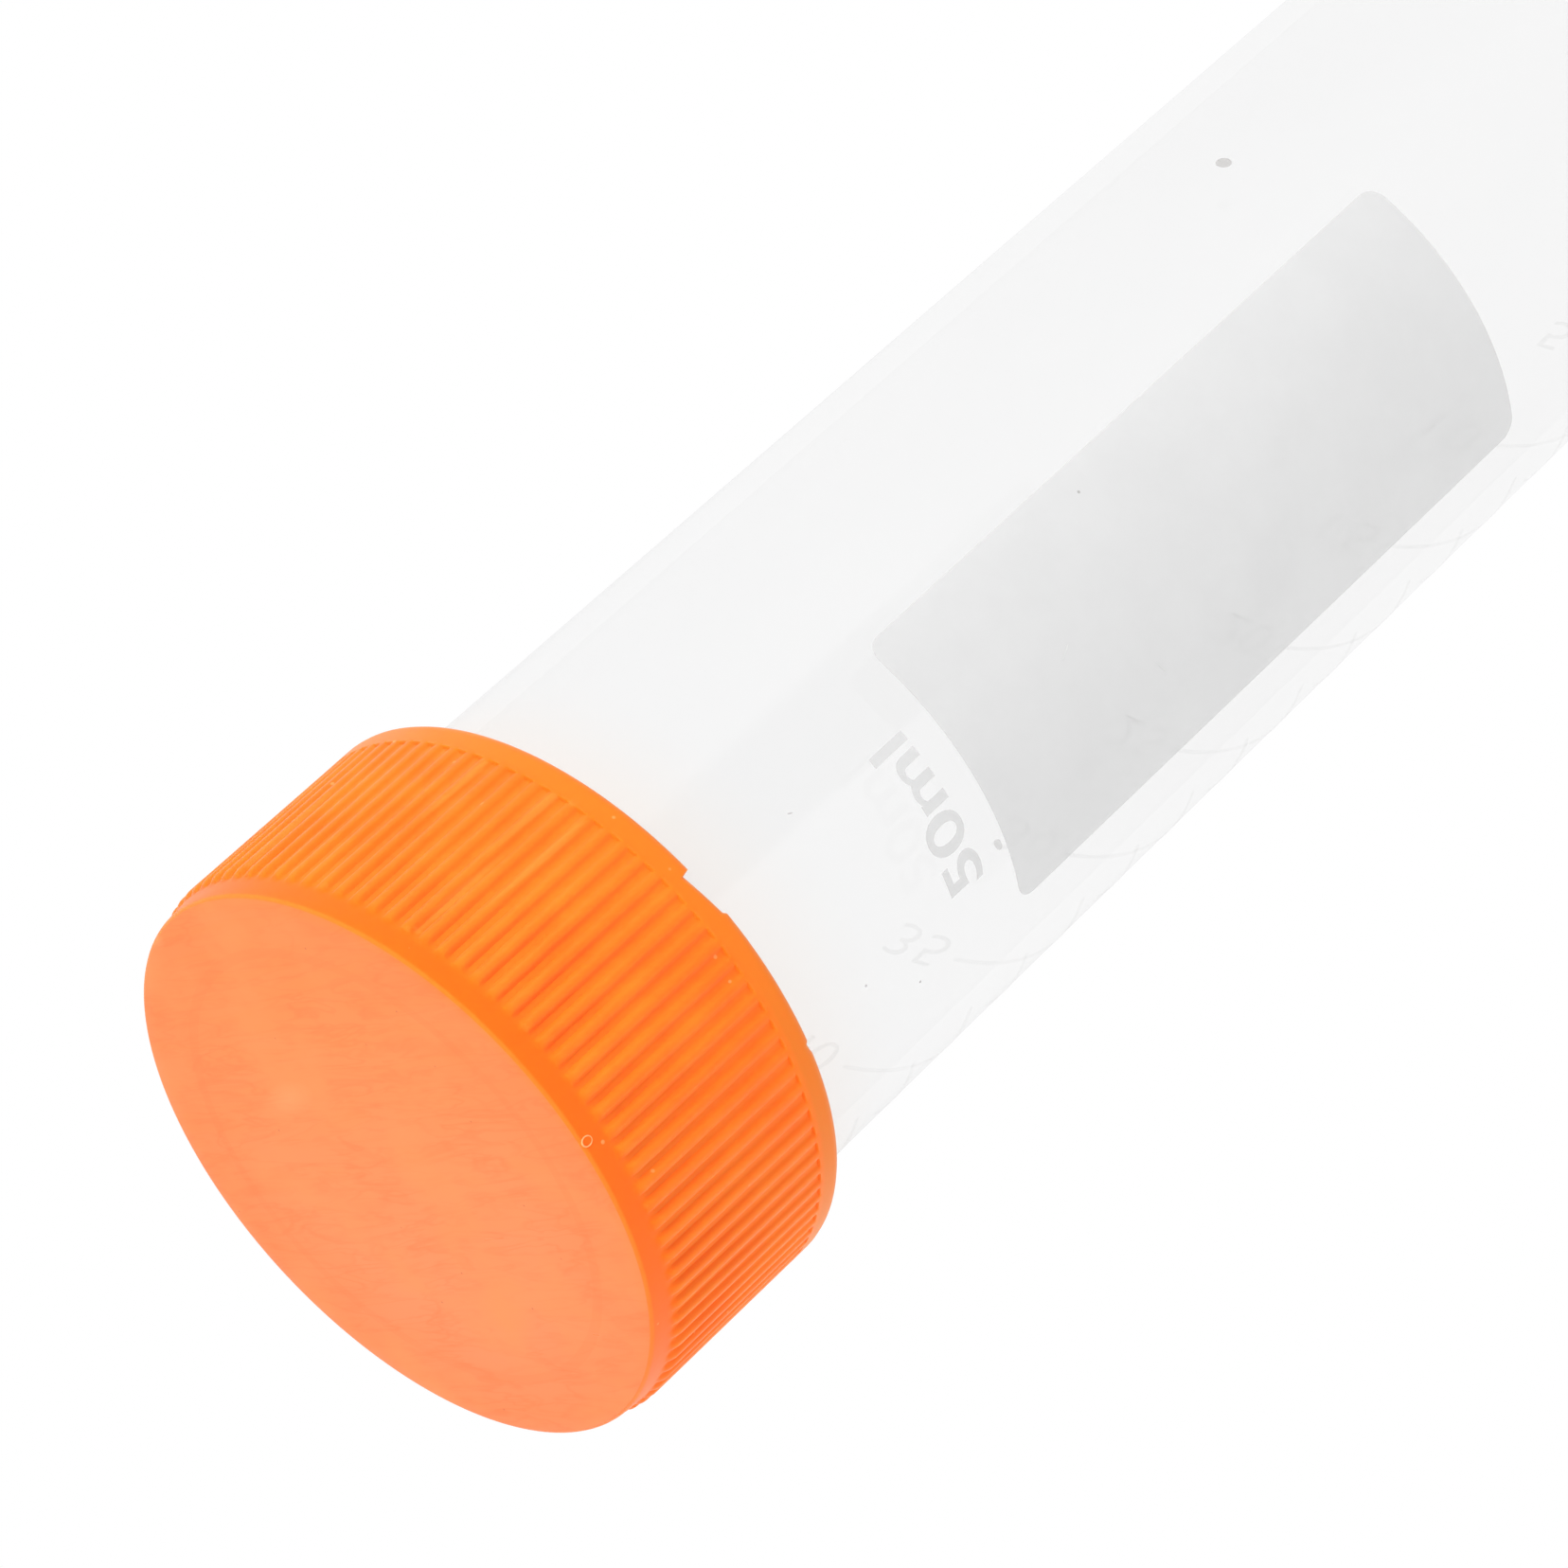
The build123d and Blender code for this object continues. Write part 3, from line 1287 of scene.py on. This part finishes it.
@dataclass
class Graduations:
    """The moulded scale: a tick every 2.5 ml, longer every 5 ml, with its number."""

    tube: TubeBody
    # The ends of the ticks and the middle of the numbers, in degrees round the wall
    right: float = -39.0
    long_left: float = 15.3
    short_left: float = -14.0
    number_angle: float = 26.1
    line: float = 0.26
    line_end: float = 0.1
    relief: float = 0.05
    sunk: float = 0.02
    # The marks stand further from the cap than their volume: the wall doesn't bend light as a real one does
    shift: float = 0.6
    number_height: float = 2.4
    number_gap: float = 0.2
    number_widths: tuple[float, float] = (1.45, 3.3)
    step: float = 2.5
    first: float = 5.0
    last: float = 45.0

    def tick(self, volume: float, left: float, material: Material) -> Object:
        """Makes one tick, a low rounded ridge round the wall.

        Args:
            volume: The volume it marks in millilitres.
            left: The angle where it ends, in degrees.
            material: Its finish.

        Returns:
            The tick.
        """
        z = self.tube.level(volume) + self.shift
        wall = self.tube.wall
        bm = bmesh.new()
        bmesh.ops.create_cube(bm, size=1.0)
        length = math.radians(left - self.right) * wall.outer(z)
        bmesh.ops.scale(bm, vec=(length, self.line, self.relief + self.sunk), verts=list(bm.verts))
        bmesh.ops.translate(bm, vec=(0, 0, (self.relief - self.sunk) / 2), verts=list(bm.verts))
        upright = [e for e in bm.edges if abs(e.verts[0].co.z - e.verts[1].co.z) > self.relief / 2]
        bmesh.ops.bevel(
            bm, geom=upright, offset=self.line_end, segments=3, profile=0.5, affect="EDGES", material=-1,
            clamp_overlap=True,
        )
        slice_across(bm, 0.6)
        wall.wrap(bm, (left + self.right) / 2, z)
        name = f"tick_{volume:g}".replace(".", "_")
        return finish_piece(bm, name, Body.TUBE, [material], sharp=60.0)

    def number(self, volume: int, material: Material) -> Object:
        """Makes one raised number beside its long tick.

        Args:
            volume: The number.
            material: Its finish.

        Returns:
            The number.
        """
        z = self.tube.level(volume) + self.shift + self.number_gap
        width = self.number_widths[len(str(volume)) - 1]
        bm = lettering(str(volume), self.number_height, width, -0.012)
        slice_across(bm, 0.4)
        thicken(bm, -self.sunk / 2, self.relief)
        self.tube.wall.wrap(bm, self.number_angle, z + self.number_height / 2)
        return finish_piece(bm, f"number_{volume}", Body.TUBE, [material])

    def build(self) -> list[Object]:
        """Makes every tick and number.

        Returns:
            The ticks and numbers, which ride on the tube.
        """
        lines = EtchedPolypropylene().build()
        figures = EtchedPolypropylene("pp_clarified_etched_figures", thin=0.028, thick=0.042).build()
        made = []
        for index in range(round(self.first / self.step), round(self.last / self.step) + 1):
            volume = index * self.step
            whole = volume % 5 == 0
            made.append(self.tick(volume, self.long_left if whole else self.short_left, lines))
            if whole:
                made.append(self.number(round(volume), figures))
        return made


# ---- Studio


@dataclass(frozen=True)
class SoftLamp:
    """A square soft box that looks at the middle of the object."""

    name: str
    direction: tuple[float, float, float]
    distance: float
    size: float
    level: float

    def build(self, target: Vector) -> Object:
        """Makes the lamp.

        Args:
            target: The point it looks at, in metres.

        Returns:
            The lamp, whose level is its share of a plain white on a surface that faces it.
        """
        lamp = bpy.data.lights.new(self.name, "AREA")
        lamp.shape = "SQUARE"
        lamp.size = self.size
        lamp.energy = self.level * math.pi**2 * self.distance**2
        holder = bpy.data.objects.new(self.name, lamp)
        away = Vector(self.direction).normalized()
        holder.location = target + away * self.distance
        holder.rotation_euler = away.to_track_quat("Z", "Y").to_euler()
        holder.visible_glossy = False
        holder.visible_transmission = False
        bpy.context.scene.collection.objects.link(holder)
        return holder


@dataclass
class Studio:
    """The pale floor, the soft light, the white surroundings and the camera."""

    aim: Vector = field(default_factory=lambda: Vector((-0.90, 0.32, 31.30)) * MM)
    distance: float = 410.28
    heading: float = 70.36
    look_up: float = 31.81
    roll: float = 47.51
    lens: float = 186.35
    ambient: float = 0.62
    # The floor's radius and how far it lies under the cap, in metres
    floor_radius: float = 3.0
    floor_gap: float = 0.00005
    lamps: tuple[SoftLamp, ...] = (
        SoftLamp("key_soft_box", (-0.84, -0.39, -0.37), 0.75, 0.5, 1.02),
        SoftLamp("fill_soft_box", (0.94, -0.34, 0.2), 0.9, 0.6, 0.52),
        SoftLamp("low_soft_box", (0.1, -0.2, -1.0), 0.8, 0.6, 0.27),
    )

    def camera(self) -> Object:
        """Makes the camera: it looks up at the cap's face, rolled so that the tube leans.

        Returns:
            The camera, in metres.
        """
        heading, look_up = math.radians(self.heading), math.radians(self.look_up)
        forward = Vector((
            math.cos(look_up) * math.cos(heading), math.cos(look_up) * math.sin(heading), math.sin(look_up)
        ))
        level = forward.cross(Vector((0, 0, 1))).normalized()
        upright = level.cross(forward)
        roll = math.radians(self.roll)
        right = level * math.cos(roll) + upright * math.sin(roll)
        up = right.cross(forward)
        lens = bpy.data.cameras.new("camera")
        lens.lens = self.lens
        lens.sensor_width = 36.0
        lens.clip_start = 0.01
        holder = bpy.data.objects.new("camera", lens)
        turned = Matrix((right, up, -forward)).transposed().to_4x4()
        holder.matrix_world = Matrix.Translation(self.aim - forward * self.distance * MM) @ turned
        bpy.context.scene.collection.objects.link(holder)
        bpy.context.scene.camera = holder
        return holder

    def world(self) -> None:
        """Makes the surroundings: plain white to the eye and in reflections, softer as light."""
        world = bpy.data.worlds.new("white_surroundings")
        world.use_nodes = True
        world.node_tree.nodes.clear()
        add = partial(add_node, world.node_tree)
        path = add("LightPath").outputs
        seen = path["Is Camera Ray"]
        for kind in ("Is Glossy Ray", "Is Transmission Ray"):
            seen = add("Math", {0: seen, 1: path[kind]}, operation="MAXIMUM")
        strength = add("MapRange", {"Value": seen, "To Min": self.ambient, "To Max": 1.0})
        white = (1.0, 1.0, 1.0, 1.0)
        surround = add("Background", {"Color": white, "Strength": strength})
        add("OutputWorld", {"Surface": surround})
        bpy.context.scene.world = world

    def floor(self) -> Object:
        """Makes the floor: pale from above with the object's shadow, open to a view from below.

        Returns:
            The floor, which is not part of the object.
        """
        bm = bmesh.new()
        bmesh.ops.create_circle(bm, cap_ends=True, segments=96, radius=self.floor_radius)
        bmesh.ops.translate(bm, vec=(0, 0, -self.floor_gap), verts=list(bm.verts))
        mesh = bpy.data.meshes.new("floor")
        bm.to_mesh(mesh)
        bm.free()
        material, add, _ = new_material("studio_floor_white_matt")
        underside = add("NewGeometry").outputs["Backfacing"]
        pale = add("BsdfDiffuse", {"Color": linear("#F6F6F6")})
        clear = add("BsdfTransparent")
        both = add("MixShader", {0: underside, 1: pale, 2: clear})
        add("OutputMaterial", {"Surface": both})
        mesh.materials.append(material)
        floor = bpy.data.objects.new("floor", mesh)
        for ray in ("shadow", "diffuse", "glossy", "transmission"):
            setattr(floor, f"visible_{ray}", False)
        bpy.context.scene.collection.objects.link(floor)
        return floor

    def build(self) -> None:
        """Makes the whole studio."""
        bpy.context.scene.view_settings.view_transform = "Standard"
        self.camera()
        self.world()
        self.floor()
        for lamp in self.lamps:
            lamp.build(self.aim)


def main() -> None:
    """Builds the cap, the tube with its marks, and the studio."""
    logging.basicConfig(level=logging.INFO, format="%(name)s: %(message)s")
    ScrewCap().build()
    torn = TornOrangeEdge().build()
    CurledBurr("curl_on_shoulder", angle=-91.2, z=0.36, radius=16.3).build(torn)
    tube = TubeBody()
    tube.build()
    Printing(tube.wall).build()
    Graduations(tube).build()
    HandlingMarks(tube.wall).build()
    Studio().build()


if __name__ == "__main__":
    main()
